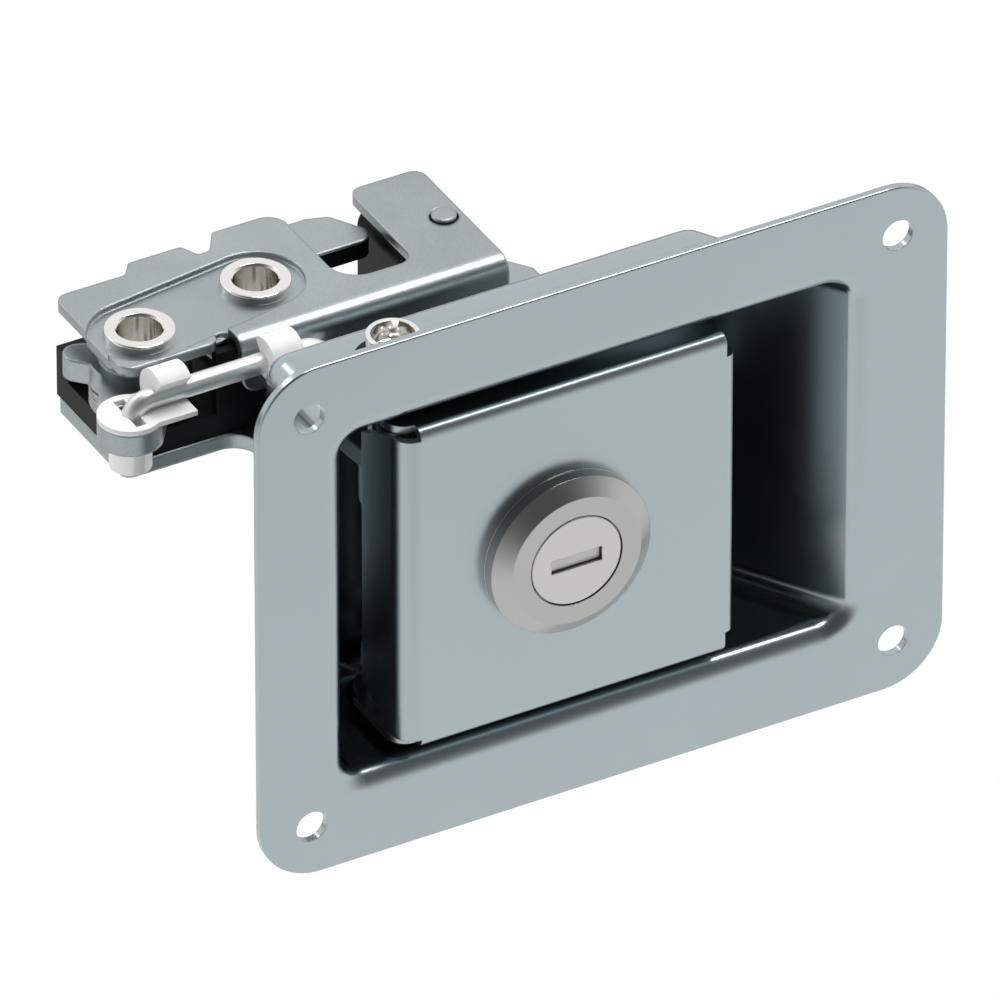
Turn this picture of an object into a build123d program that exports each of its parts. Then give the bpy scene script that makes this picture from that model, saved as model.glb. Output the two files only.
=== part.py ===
from build123d import *
from math import acos, atan2, cos, degrees, radians, sin, sqrt
import os

os.makedirs("parts", exist_ok=True)

# Flush slam latch: a paddle in a pressed tray pulls a rod, which releases a rotor latch behind the tray.
# Frame: origin at the centre of the four mounting holes, on the back face of the tray's flange.
# +X to the right, +Y into the depth, +Z up. Millimetres.

# Driving dimensions of the tray
sheet = 1.2
flange_w = 108.0
flange_h = 84.0
flange_corner_r = 9.5
flange_edge_r = 0.3
hole_spacing_x = 92.0
hole_spacing_z = 68.0
hole_r = 2.4
pan_w = 83.0
pan_h = 59.0
pan_depth = 24.0
pan_edge_r = 4.2
mouth_bend_r = 3.0
slant_mouth_x = 40.6
slant_foot_x = 26.5
slot_left = -33.2
slot_right = -18.0
slot_gap = 0.9
slot_corner_r = 1.5
pan_rivet_grid_x = (-12.0, 9.0)
pan_rivet_grid_z = (-2.0, -13.0)
pan_rivet_r = 2.0
pan_rivet_head_r = 3.4
pan_rivet_head_front = 1.0
pan_rivet_head_back = 1.5
flange_front = -sheet
pan_back = flange_front + pan_depth
pan_floor = pan_back - sheet

# Driving dimensions of the paddle and its hinge
paddle_sheet = 1.2
paddle_proud = 0.6
paddle_left = -32.1
paddle_right = 20.4
paddle_bend_r = 3.1
ear_bend_r = 1.6
paddle_wall_depth = 11.4
wall_slope_drop = 4.1
paddle_lip_depth = 5.0
lip_bend_r = 1.6
lip_notch_h = 3.45
ear_lobe_r = 5.6
ear_shoulder = 8.0
ear_rise = 1.2
ear_flat = 3.6
ear_slope = 1.3
ear_front = 2.0
ear_corner_r = 3.0
ear_end_r = 1.4
hinge_x = -25.7
hinge_y = 12.3
tube_r = 3.75
tube_wall = 1.15
tube_rim_r = 0.3
tube_stand = 3.85
bush_r = 5.4
bush_collar_r = 6.6
bush_collar_t = 1.5
run_gap = 0.05
side_gap = 0.3
paddle_face = flange_front - paddle_proud
paddle_h = pan_h - 2 * (sheet + bush_collar_t + side_gap)

# Driving dimensions of the lock
lock_x = -6.8
lock_ring_r = 12.6
lock_ring_t = 0.3
bezel_r = 12.5
bezel_face_r = 10.1
bezel_band = 1.8
bezel_bevel = 1.65
lock_body_r = 9.0
lock_body_back = 13.6
nut_across_flats = 23.0
nut_t = 3.2
plug_r = 7.0
plug_rim_r = 7.2
plug_rim_depth = 0.6
plug_edge = 0.15
plug_end_gap = 0.2
key_slot_l = 8.0
key_slot_w = 2.3
key_slot_depth = 7.0
drive_square = 6.0
cam_t = 2.0
cam_l = 18.0
cam_w = 12.0
cam_arm_w = 10.0
cam_tip_r = 2.0
cam_screw_r = 2.0
cam_screw_l = 5.5
cam_screw_room = 0.5
cam_head_r = 3.8
cam_head_t = 2.0
cam_head_edge_r = 0.8
driver_slot = 0.9

# Driving dimensions of the latch mechanism, measured from the left hollow rivet
rivet_x = -50.0
rivet_y = 40.3
plate_top = 25.1
plate_t = 1.5
plate_dish = 0.8
second_x = 19.75
second_y = 3.07
mouth_left = 30.2
mouth_right = 41.4
mouth_end = -3.0
plate_left = -6.6
plate_front = -7.7
plate_right = 52.8
plate_corner_r = 2.0
plate_bend_r = 2.5
left_back = 12.9
left_step = 4.6
tab_one_left = 6.4
tab_one_right = 14.6
tab_one_back = 15.3
dip_left = 15.8
dip_right = 17.6
dip_back = 12.5
tab_two_left = 20.0
tab_two_back = 16.3
tab_corner_r = 3.0
step_r = 0.8
right_back = 16.4
mouth_left_r = 4.5
mouth_right_r = 2.4
notch_left = 8.4
notch_end = -4.95
notch_corner_r = 1.6
flange_left = 11.0
foot_corner_r = 2.4
land_left_r = 7.3
land_right_r = 6.9
front_flange_y = -9.4
front_flange_drop = 8.7
base_drop = 15.8
base_t = 2.3
bracket_right = 66.0
bracket_neck_x = 12.2
bracket_tail = 27.0
bracket_corner_x = 62.6
bracket_corner_y = 7.6
bracket_bend_r = 3.5
bracket_neck_r = 4.0
bracket_edge_r = 1.5
base_back = 12.3
edge_reach = 0.6
rivet_bore_r = 3.15
rivet_shank_r = 4.0
rivet_head_r = 5.0
rivet_head_t = 1.3
rivet_rim_r = 0.3
rivet_mouth_edge = 0.3
floor_t = 3.8
housing_left = -6.5
housing_right = 52.6
housing_front = -7.4
housing_wall = 1.4
housing_drop = 2.2
housing_mouth_left = 29.6
housing_mouth_right = 42.2
housing_mouth_end = -6.0
housing_arm_back = 15.0
block_left_r = 3.0
block_right_r = 1.5
boss_r = 5.6
rear_wall_right = 3.5
rear_wall_front = 9.0
rear_wall_gap = 0.1
front_wall_left = 8.0
bumper_t = 2.6
bumper_edge_r = 1.0
bumper_gap = 0.3
stud_x = 50.0
stud_y = 4.3
stud_r = 1.8
stud_gap = 0.3
stud_stand = 0.5
stud_edge = 0.15

# Driving dimensions of the moving pieces of the latch
rotor_drop = 3.0
rotor_t = 3.0
rotor_cap_t = 0.4
overmould_t = 0.7
rotor_hub_r = 6.4
rotor_tooth_r = 9.0
tooth_root_inset = 0.5
tooth_span = 24.0
horn_root = 5.0
horn_end = ((15.3, 13.8), (18.4, 12.8))
horn_end_r = (2.0, 1.5)
horn_front_r = 1.9
throat_x = 8.4
throat_r = 3.4
jaw_root = 1.0
jaw_tip_r = 1.3
hub_flat_x = -3.5
hub_flat_y = -5.0
overmould_start = 5.5
horn_front = 5.33
horn_back = 13.8
horn_tip = 22.9
jaw_back = -5.2
jaw_front = -8.4
jaw_tip = 16.6
trigger_drop = 4.25
trigger_t = 3.4
trigger_hub_r = 7.2
pawl_gap = 1.5
pawl_angle = 35.0
pawl_low = 1.0
pawl_high = 3.2
pawl_web = ((0, -6.0), (9.0, -3.6), (13.5, -1.0))
pawl_back = ((6.0, 5.4), (0, 6.4))
trigger_arm_r = 5.2
ear_x = -7.0
ear_y = 4.8
ear_r = 2.2
ear_root_r = 4.0
eye_x = -8.2
eye_y = -12.5
eye_r = 4.6
rod_r = 1.5
rod_drop = 2.0
rod_l = 30.4
rod_bend_r = 3.2
clip_head_r = 4.6
clip_head_t = 0.75
clip_barrel_r = 3.0
clip_barrel_l = 8.4
clip_sleeve_r = 3.7
clip_sleeve_l = 4.8
clip_sleeve_start = 3.6
clip_sleeve_shift = 0.25
clip_sleeve_open = 54.0
long_sleeve_far = 9.7
long_tongue_w = 5.0
clip_collar_r = 4.4
clip_end = 1.2
rod_end_inset = 0.6
lever_t = 2.8
lever_drop = 9.7
lever_barrel_r = 2.5
open_pivot_gap = 0.45
lever_hub_r = 4.8
lever_hub_l = 9.0
lever_eye_r = 4.3
wire = 1.0
fine_wire = 0.6
coil_gap = 0.2
turn_gap = 0.1
coil_lift = 0.25
return_spring_low = -22.0
return_turns = 4
return_leg_x = -34.0
return_leg_in = 3.4
pawl_coil_gap = 0.55
pawl_turns = 2
pawl_leg_low = (1.0, 8.3)
pawl_leg_high = (8.5, 5.0)
rotor_turns = 2
rotor_leg_low = (-7.0, 7.6)
rotor_leg_high = (8.0, -6.6)

# Levels and places that follow from them
plate_under = plate_top - plate_t
dish_floor = plate_top - plate_dish
dish_under = dish_floor - plate_t
base_top = plate_top - base_drop
base_under = base_top - base_t
floor_top = base_top + floor_t
housing_top = plate_top - housing_drop
rotor_top = plate_top - rotor_drop
rotor_under = rotor_top - rotor_t
trigger_top = plate_top - trigger_drop
trigger_under = trigger_top - trigger_t
rod_z = plate_top - rod_drop
rod_left_x = rivet_x + eye_x
rod_y = rivet_y + eye_y
rod_right_x = rod_left_x + rod_l
lever_top = plate_top - lever_drop
lever_under = lever_top - lever_t
pan_rivet_places = [(x, z) for x in pan_rivet_grid_x for z in pan_rivet_grid_z]
hole_cutter_l = 2 * base_drop
near = 0.01


def level(z):
    """Plan sheet of the latch at height z, with its origin on the left rivet's axis."""
    return Plane(origin=(rivet_x, rivet_y, z))


def facing(y):
    """Upright sheet at depth y, seen from the front: x to the right, y up."""
    return Plane.XZ.offset(-y)


def slant_x(y, inset):
    """Place of the slanted finger wall at depth y, moved inwards by inset."""
    slope = (slant_mouth_x - slant_foot_x) / pan_back
    return slant_foot_x + (pan_back - y) * slope - inset * sqrt(1 + slope**2)


def pan_form(inset):
    """Closed form of the pan: its outer skin, or its inner one when inset by the sheet."""
    wall_x = pan_w / 2 - inset
    floor_y = pan_back - inset
    with BuildPart() as form:
        with BuildSketch(Plane.XY):
            Polygon(
                (-wall_x, flange_front),
                (slant_x(flange_front, inset), flange_front),
                (slant_x(floor_y, inset), floor_y),
                (-wall_x, floor_y),
                align=None,
            )
        extrude(amount=pan_h / 2 - inset, both=True)
        behind_mouth = form.edges().filter_by(lambda e: e.center().Y > flange_front + near)
        fillet(behind_mouth, radius=pan_edge_r - inset)
    return form.part


# Tray: one pressed sheet with a bent mouth, a deep pan and a slanted wall behind the finger space
with BuildPart() as tray:
    with BuildSketch(facing(flange_front)):
        RectangleRounded(flange_w, flange_h, flange_corner_r)
    extrude(amount=-sheet)
    add(pan_form(0))
    add(pan_form(sheet), mode=Mode.SUBTRACT)
    back_face = tray.faces().filter_by(Axis.Y).filter_by_position(Axis.Y, -near, near)[0]
    fillet(back_face.inner_wires()[0].edges(), radius=mouth_bend_r - sheet)
    front_face = tray.faces().filter_by(Axis.Y).sort_by(Axis.Y)[0]
    fillet(front_face.inner_wires()[0].edges(), radius=mouth_bend_r)
    rim = tray.faces().filter_by(Axis.Y).sort_by(Axis.Y)[0].outer_wire().edges()
    fillet(rim, radius=flange_edge_r)
    with BuildSketch(facing(flange_front)):
        with GridLocations(hole_spacing_x, hole_spacing_z, 2, 2):
            Circle(hole_r)
    extrude(amount=-sheet, mode=Mode.SUBTRACT)
    with Locations((hinge_x, hinge_y, 0)):
        Cylinder(bush_r, 2 * pan_h, mode=Mode.SUBTRACT)
    with BuildSketch(facing(pan_floor)):
        with Locations(((slot_left + slot_right) / 2, (lever_top + lever_under) / 2)):
            RectangleRounded(slot_right - slot_left, lever_t + 2 * slot_gap, slot_corner_r)
        with Locations(*pan_rivet_places):
            Circle(pan_rivet_r)
    extrude(amount=-sheet, mode=Mode.SUBTRACT)
tray.part.label = "tray"
export_step(tray.part, "parts/tray.step")

# Hinge bushes: the tube turns in them, one in each wall of the pan
for side, name in ((1, "hinge_bush_top"), (-1, "hinge_bush_bottom")):
    inner_wall = pan_h / 2 - sheet
    collar_start = paddle_h / 2 + side_gap
    with BuildPart() as bush:
        with BuildSketch(Plane.XY.offset(side * collar_start)):
            with Locations((hinge_x, hinge_y)):
                Circle(bush_collar_r)
                Circle(tube_r + run_gap, mode=Mode.SUBTRACT)
        extrude(amount=side * (inner_wall - collar_start))
        with BuildSketch(Plane.XY.offset(side * inner_wall)):
            with Locations((hinge_x, hinge_y)):
                Circle(bush_r)
                Circle(tube_r + run_gap, mode=Mode.SUBTRACT)
        extrude(amount=side * sheet)
    bush.part.label = name
    export_step(bush.part, f"parts/{name}.step")

# Hinge tube: a hollow axle right through the pan, fixed in the paddle
with BuildPart() as hinge_tube:
    with BuildSketch(Plane.XY.offset(-pan_h / 2 - tube_stand)):
        with Locations((hinge_x, hinge_y)):
            Circle(tube_r)
            Circle(tube_r - tube_wall, mode=Mode.SUBTRACT)
    extrude(amount=pan_h + 2 * tube_stand)
    end_faces = hinge_tube.faces().filter_by(Axis.Z)
    fillet(end_faces.edges(), radius=tube_rim_r)
hinge_tube.part.label = "hinge_tube"
export_step(hinge_tube.part, "parts/hinge_tube.step")

# Paddle: one folded sheet with a left wall, a finger lip and two hinge ears
ear_back = hinge_y + ear_lobe_r
ear_under = paddle_h / 2 - paddle_sheet
bend_end = paddle_h / 2 - ear_bend_r
wall_tangent = paddle_left + paddle_bend_r
lip_tangent = paddle_right - lip_bend_r
wall_back = paddle_face + paddle_wall_depth
lip_back = paddle_face + paddle_lip_depth


def fold(low, high, low_r, high_r, inset):
    """Closed section of a sheet folded back at both ends, inset for its inner skin."""
    with BuildSketch() as section:
        Polygon(
            (low + inset, paddle_face + inset),
            (high - inset, paddle_face + inset),
            (high - inset, ear_back),
            (low + inset, ear_back),
            align=None,
        )
        for end, radius in ((0, low_r), (-1, high_r)):
            fillet(section.vertices().group_by(Axis.Y)[0].sort_by(Axis.X)[end], radius=radius - inset)
    return section.sketch


with BuildPart() as paddle:
    # the face with its two ears, folded at the top and the bottom
    with BuildSketch(Plane(origin=(lip_tangent, 0, 0), x_dir=(0, 0, 1), z_dir=(-1, 0, 0))):
        add(fold(-paddle_h / 2, paddle_h / 2, ear_bend_r, ear_bend_r, 0))
        add(fold(-paddle_h / 2, paddle_h / 2, ear_bend_r, ear_bend_r, paddle_sheet), mode=Mode.SUBTRACT)
    extrude(amount=lip_tangent - wall_tangent)
    # each ear runs on to the left behind the end of its bend
    with BuildSketch(Plane.XY.offset(ear_under), Plane.XY.offset(-paddle_h / 2)):
        with BuildSketch(mode=Mode.PRIVATE) as ear_plan:
            with Locations((hinge_x, (ear_front + paddle_face + hinge_y) / 2)):
                Rectangle(2 * (hinge_x - paddle_left), hinge_y - ear_front - paddle_face)
            fillet(ear_plan.vertices().group_by(Axis.Y)[0].sort_by(Axis.X)[0], radius=ear_corner_r)
        add(ear_plan.sketch)
        with Locations((hinge_x, hinge_y)):
            Circle(ear_lobe_r)
    extrude(amount=paddle_sheet)
    # the ears keep a lobe round the tube and a tapering rib along the face
    with BuildSketch(Plane.XY.offset(-paddle_h)):
        Rectangle(2 * flange_w, 2 * flange_w)
        with Locations((hinge_x, hinge_y)):
            Circle(ear_lobe_r, mode=Mode.SUBTRACT)
        Polygon(
            (paddle_left, paddle_face - paddle_sheet),
            (paddle_right, paddle_face - paddle_sheet),
            (paddle_right, lip_back),
            (paddle_right - ear_shoulder, lip_back + ear_rise),
            (hinge_x + ear_flat, ear_back - ear_slope),
            (hinge_x - ear_lobe_r, hinge_y),
            (paddle_left, hinge_y),
            align=None,
            mode=Mode.SUBTRACT,
        )
    extrude(amount=2 * paddle_h, mode=Mode.SUBTRACT)
    right_edges = paddle.edges().filter_by(Axis.Z).group_by(Axis.X)[-1]
    fillet(right_edges.filter_by(lambda e: e.length < 2 * paddle_sheet), radius=ear_end_r)
    # the left wall and the finger lip, folded inside the ears
    with BuildSketch(Plane.XY.offset(-bend_end)):
        add(fold(paddle_left, paddle_right, paddle_bend_r, lip_bend_r, 0))
        add(fold(paddle_left, paddle_right, paddle_bend_r, lip_bend_r, paddle_sheet), mode=Mode.SUBTRACT)
        with Locations((paddle_left, (wall_back + ear_back) / 2)):
            Rectangle(4 * paddle_sheet, ear_back - wall_back, mode=Mode.SUBTRACT)
        with Locations((paddle_right, (lip_back + ear_back) / 2)):
            Rectangle(4 * paddle_sheet, ear_back - lip_back, mode=Mode.SUBTRACT)
    extrude(amount=2 * bend_end)
    for side in (1, -1):
        with BuildSketch(Plane.YZ.offset(wall_tangent)):
            Polygon(
                (paddle_face + paddle_bend_r, side * bend_end),
                (wall_back, side * (bend_end - wall_slope_drop)),
                (wall_back, side * bend_end),
                align=None,
            )
        extrude(amount=-2 * paddle_bend_r, mode=Mode.SUBTRACT)
        with BuildSketch(facing(paddle_face)):
            with Locations((paddle_right, side * paddle_h / 2)):
                Rectangle(2 * lip_bend_r, 2 * lip_notch_h)
        extrude(amount=-paddle_lip_depth, mode=Mode.SUBTRACT)
    with Locations((hinge_x, hinge_y, 0)):
        Cylinder(tube_r, 2 * paddle_h, mode=Mode.SUBTRACT)
    with Locations((lock_x, paddle_face, 0)):
        Cylinder(lock_body_r, 4 * paddle_sheet, rotation=(90, 0, 0), mode=Mode.SUBTRACT)
paddle.part.label = "paddle"
export_step(paddle.part, "parts/paddle.step")

# Lock: a washer and a bevelled bezel in front of the paddle, its body and nut behind
ring_front = paddle_face - lock_ring_t
band_front = ring_front - bezel_band
bezel_front = band_front - bezel_bevel
face_back = paddle_face + paddle_sheet


def lock_profile(points):
    """Half section turned about the lock's axis; points are (radius, depth)."""
    with BuildSketch(Plane.XY) as section:
        Polygon(*[(lock_x + r, y) for r, y in points], align=None)
    return section.sketch_local


lock_axis = Axis((lock_x, 0, 0), (0, 1, 0))

with BuildPart() as lock_ring:
    with BuildSketch(Plane.XY):
        add(lock_profile([(lock_body_r, ring_front), (lock_ring_r, ring_front),
                          (lock_ring_r, paddle_face), (lock_body_r, paddle_face)]))
    revolve(axis=lock_axis)
lock_ring.part.label = "lock_ring"
export_step(lock_ring.part, "parts/lock_ring.step")

with BuildPart() as lock_housing:
    with BuildSketch(Plane.XY):
        add(lock_profile([
            (plug_r + run_gap, bezel_front + plug_rim_depth),
            (plug_rim_r, bezel_front + plug_rim_depth),
            (plug_rim_r, bezel_front),
            (bezel_face_r, bezel_front),
            (bezel_r, band_front),
            (bezel_r, ring_front),
            (lock_body_r, ring_front),
            (lock_body_r, lock_body_back),
            (plug_r + run_gap, lock_body_back),
        ]))
    revolve(axis=lock_axis)
lock_housing.part.label = "lock_housing"
export_step(lock_housing.part, "parts/lock_housing.step")

with BuildPart() as lock_nut:
    with BuildSketch(facing(face_back)):
        with Locations((lock_x, 0)):
            RegularPolygon(nut_across_flats / 2, 6, major_radius=False)
            Circle(lock_body_r, mode=Mode.SUBTRACT)
    extrude(amount=-nut_t)
lock_nut.part.label = "lock_nut"
export_step(lock_nut.part, "parts/lock_nut.step")

plug_back = lock_body_back + plug_end_gap
cam_front = plug_back
cam_back = cam_front + cam_t

with BuildPart() as lock_plug:
    with BuildSketch(facing(bezel_front)):
        with Locations((lock_x, 0)):
            Circle(plug_r)
    extrude(amount=-(plug_back - bezel_front))
    with BuildSketch(facing(plug_back)):
        with Locations((lock_x, 0)):
            Rectangle(drive_square, drive_square)
    extrude(amount=-cam_t)
    chamfer(lock_plug.faces().sort_by(Axis.Y)[0].edges(), length=plug_edge)
    with BuildSketch(facing(bezel_front)):
        with Locations((lock_x, 0)):
            Rectangle(key_slot_l, key_slot_w)
    extrude(amount=-key_slot_depth, mode=Mode.SUBTRACT)
    with BuildSketch(facing(cam_back)):
        with Locations((lock_x, 0)):
            Circle(cam_screw_r)
    extrude(amount=cam_screw_l + cam_screw_room, mode=Mode.SUBTRACT)
lock_plug.part.label = "lock_plug"
export_step(lock_plug.part, "parts/lock_plug.step")

with BuildPart() as lock_cam:
    with BuildSketch(facing(cam_front)):
        with Locations((lock_x, 0)):
            Circle(cam_w / 2)
        with Locations((lock_x + cam_l / 2, 0)):
            Rectangle(cam_l, cam_arm_w)
        with Locations((lock_x, 0)):
            Rectangle(drive_square, drive_square, mode=Mode.SUBTRACT)
    extrude(amount=-cam_t)
    cam_tip = lock_cam.edges().filter_by(Axis.Y).sort_by(Axis.X)[-2:]
    fillet(cam_tip, radius=cam_tip_r)
lock_cam.part.label = "lock_cam"
export_step(lock_cam.part, "parts/lock_cam.step")

with BuildPart() as lock_cam_screw:
    with BuildSketch(facing(cam_back)):
        with Locations((lock_x, 0)):
            Circle(cam_head_r)
    extrude(amount=-cam_head_t)
    fillet(lock_cam_screw.faces().sort_by(Axis.Y)[-1].edges(), radius=cam_head_edge_r)
    with BuildSketch(facing(cam_back + cam_head_t)):
        with Locations((lock_x, 0)):
            Rectangle(2 * cam_head_r, driver_slot)
    extrude(amount=driver_slot, mode=Mode.SUBTRACT)
    with BuildSketch(facing(cam_back)):
        with Locations((lock_x, 0)):
            Circle(cam_screw_r)
    extrude(amount=cam_screw_l)
lock_cam_screw.part.label = "lock_cam_screw"
export_step(lock_cam_screw.part, "parts/lock_cam_screw.step")

# Drive lever: pressed on the hinge tube, it reaches through the slot in the pan's back
lever_eye_hole_r = lever_barrel_r + open_pivot_gap
with BuildPart() as drive_lever:
    with BuildSketch(Plane.XY.offset(lever_under)):
        with BuildSketch(Plane.XY, mode=Mode.PRIVATE) as lever_ends:
            with Locations((hinge_x, hinge_y)):
                Circle(lever_hub_r)
            with Locations((rod_right_x, rod_y)):
                Circle(lever_eye_r)
        make_hull(lever_ends.edges())
        with Locations((rod_right_x, rod_y)):
            Circle(lever_eye_hole_r, mode=Mode.SUBTRACT)
    extrude(amount=lever_t)
    with BuildSketch(Plane.XY.offset(lever_top - lever_hub_l)):
        with Locations((hinge_x, hinge_y)):
            Circle(lever_hub_r)
    extrude(amount=lever_hub_l)
    with Locations((hinge_x, hinge_y, lever_top)):
        Cylinder(tube_r, 4 * lever_hub_l, mode=Mode.SUBTRACT)
drive_lever.part.label = "drive_lever"
export_step(drive_lever.part, "parts/drive_lever.step")

# Connecting rod: round wire with a long run and two legs turned down
rod_left_end = trigger_top + clip_head_t - clip_barrel_l + rod_end_inset
rod_right_end = lever_under - clip_end
with BuildPart() as connecting_rod:
    with BuildLine() as rod_path:
        FilletPolyline(
            (rod_left_x, rod_y, rod_left_end),
            (rod_left_x, rod_y, rod_z),
            (rod_right_x, rod_y, rod_z),
            (rod_right_x, rod_y, rod_right_end),
            radius=rod_bend_r,
        )
    with BuildSketch(Plane(origin=(rod_left_x, rod_y, rod_left_end), z_dir=(0, 0, 1))):
        Circle(rod_r)
    sweep()
connecting_rod.part.label = "connecting_rod"
export_step(connecting_rod.part, "parts/connecting_rod.step")


def hook_profile(side):
    """End view of a clip's hook round the rod: side 1 leaves the rod's front open, side -1 its back."""
    beyond = 2 * clip_sleeve_r
    with BuildSketch(Plane.YZ) as end_view:
        with Locations((rod_y + side * clip_sleeve_shift, rod_z + clip_sleeve_shift)):
            Circle(clip_sleeve_r)
        with Locations((rod_y, rod_z)):
            Circle(rod_r, mode=Mode.SUBTRACT)
            Polygon(
                (0, 0),
                (-side * beyond * cos(radians(clip_sleeve_open)), beyond * sin(radians(clip_sleeve_open))),
                (-2 * side * beyond, 0),
                (-2 * side * beyond, -beyond),
                (0, -beyond),
                align=None,
                mode=Mode.SUBTRACT,
            )
        with Locations((rod_y, trigger_top - beyond)):
            Rectangle(4 * beyond, 2 * beyond, mode=Mode.SUBTRACT)
    return end_view.sketch_local


# Rod clip at the latch: head, barrel through the trigger's eye, tongue and hook
tongue_w = 2 * (clip_sleeve_r + clip_sleeve_shift)
with BuildPart() as rod_clip_latch:
    with BuildSketch(Plane.XY.offset(trigger_top)):
        with Locations((rod_left_x, rod_y)):
            Circle(clip_head_r)
        with Locations((rod_left_x + (clip_sleeve_start + clip_sleeve_l) / 2, rod_y)):
            Rectangle(clip_sleeve_start + clip_sleeve_l, tongue_w)
    extrude(amount=clip_head_t)
    with BuildSketch(Plane.XY.offset(trigger_top + clip_head_t - clip_barrel_l)):
        with Locations((rod_left_x, rod_y)):
            Circle(clip_barrel_r)
    extrude(amount=clip_barrel_l - clip_head_t)
    with BuildSketch(Plane.YZ.offset(rod_left_x + clip_sleeve_start)):
        add(hook_profile(1))
    extrude(amount=clip_sleeve_l)
    add(connecting_rod.part, mode=Mode.SUBTRACT)
rod_clip_latch.part.label = "rod_clip_latch"
export_step(rod_clip_latch.part, "parts/rod_clip_latch.step")

# Rod clip at the paddle: the same hook turned round, with a longer barrel down to the drive lever
with BuildPart() as rod_clip_paddle:
    with BuildSketch(Plane.XY.offset(trigger_top)):
        with Locations((rod_right_x - long_sleeve_far / 2, rod_y)):
            Rectangle(long_sleeve_far, long_tongue_w)
    extrude(amount=clip_head_t)
    with BuildSketch(Plane.XY.offset(lever_top + run_gap)):
        with Locations((rod_right_x, rod_y)):
            Circle(clip_collar_r)
    extrude(amount=clip_head_t)
    with BuildSketch(Plane.XY.offset(lever_under - clip_end)):
        with Locations((rod_right_x, rod_y)):
            Circle(lever_barrel_r)
    extrude(amount=trigger_top - lever_under + clip_end)
    with BuildSketch(Plane.YZ.offset(rod_right_x - long_sleeve_far)):
        add(hook_profile(-1))
    extrude(amount=clip_sleeve_l)
    add(connecting_rod.part, mode=Mode.SUBTRACT)
rod_clip_paddle.part.label = "rod_clip_paddle"
export_step(rod_clip_paddle.part, "parts/rod_clip_paddle.step")

# Top plate of the latch: flat sheet with a mouth, a dished land round the rivets and a front flange
notch_r = (flange_left - notch_left) / 2
back_steps = (
    (tab_two_left, tab_two_back),
    (dip_right, dip_back),
    (dip_left, dip_back),
    (tab_one_right, tab_one_back),
    (tab_one_left, tab_one_back),
    (left_step, left_back),
)


def upright_edges(part, x, y):
    """Upright edges of a part at a plan position measured from the left rivet."""
    at_x = part.edges().filter_by(Axis.Z).filter_by_position(
        Axis.X, rivet_x + x - edge_reach, rivet_x + x + edge_reach
    )
    return at_x.filter_by_position(Axis.Y, rivet_y + y - edge_reach, rivet_y + y + edge_reach)


with BuildPart() as latch_top_plate:
    with BuildSketch(level(plate_under)) as outline:
        Polygon(
            (plate_left, plate_front),
            (flange_left, plate_front),
            (flange_left, front_flange_y),
            (plate_right, front_flange_y),
            (plate_right, right_back),
            (mouth_right, right_back),
            (mouth_right, mouth_end),
            (mouth_left, mouth_end),
            (mouth_left, tab_two_back),
            *back_steps,
            (plate_left, left_back),
            align=None,
        )
        with Locations((notch_left + notch_r, notch_end - notch_r)):
            Circle(notch_r, mode=Mode.SUBTRACT)
        with Locations((notch_left + notch_r, (notch_end - notch_r + front_flange_y) / 2)):
            Rectangle(2 * notch_r, notch_end - notch_r - front_flange_y, mode=Mode.SUBTRACT)
    extrude(amount=plate_t)

    for x, y, radius in (
        (mouth_left, tab_two_back, tab_corner_r),
        (mouth_left, mouth_end, mouth_left_r),
        (mouth_right, mouth_end, mouth_right_r),
        (plate_right, right_back, plate_corner_r),
        (mouth_right, right_back, plate_corner_r),
        (plate_left, plate_front, plate_corner_r),
        (plate_left, left_back, plate_corner_r),
        (notch_left, plate_front, notch_corner_r),
    ):
        fillet(upright_edges(latch_top_plate, x, y), radius=radius)
    for x, y in back_steps:
        fillet(upright_edges(latch_top_plate, x, y), radius=step_r)
    with BuildSketch(level(plate_top - front_flange_drop)):
        with Locations(((flange_left + plate_right) / 2, front_flange_y + plate_t / 2)):
            Rectangle(plate_right - flange_left, plate_t)
    extrude(amount=front_flange_drop - plate_t)
    along_x = latch_top_plate.edges().filter_by(Axis.X)
    outer_bend = along_x.filter_by_position(Axis.Z, plate_top - near, plate_top + near).sort_by(Axis.Y)[0]
    fillet(outer_bend, radius=plate_bend_r)
    inner_y = rivet_y + front_flange_y + plate_t
    inner_bend = latch_top_plate.edges().filter_by(Axis.X).filter_by_position(
        Axis.Z, plate_under - near, plate_under + near
    ).filter_by_position(Axis.Y, inner_y - near, inner_y + near)
    fillet(inner_bend, radius=plate_bend_r - plate_t)
    flange_foot = latch_top_plate.edges().filter_by(Axis.Y).filter_by_position(
        Axis.Z, plate_top - front_flange_drop - near, plate_top - front_flange_drop + near
    )
    fillet(flange_foot, radius=foot_corner_r)
    # the dished land round both rivets
    with BuildSketch(level(dish_under)) as land:
        with BuildSketch(level(dish_under), mode=Mode.PRIVATE) as land_ends:
            Circle(land_left_r)
            with Locations((second_x, second_y)):
                Circle(land_right_r)
        make_hull(land_ends.edges())
        with Locations((plate_left - land_left_r, 0)):
            Rectangle(2 * land_left_r, 4 * land_left_r, mode=Mode.SUBTRACT)
    extrude(amount=plate_dish)
    with BuildSketch(level(plate_top)):
        add(land.sketch_local)
    extrude(amount=-plate_dish, mode=Mode.SUBTRACT)
    with Locations(level(plate_top)):
        with Locations((0, 0), (second_x, second_y)):
            Cylinder(rivet_shank_r, hole_cutter_l, mode=Mode.SUBTRACT)
        with Locations((stud_x, stud_y)):
            Cylinder(stud_r + stud_gap, hole_cutter_l, mode=Mode.SUBTRACT)
latch_top_plate.part.label = "latch_top_plate"
export_step(latch_top_plate.part, "parts/latch_top_plate.step")

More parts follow.
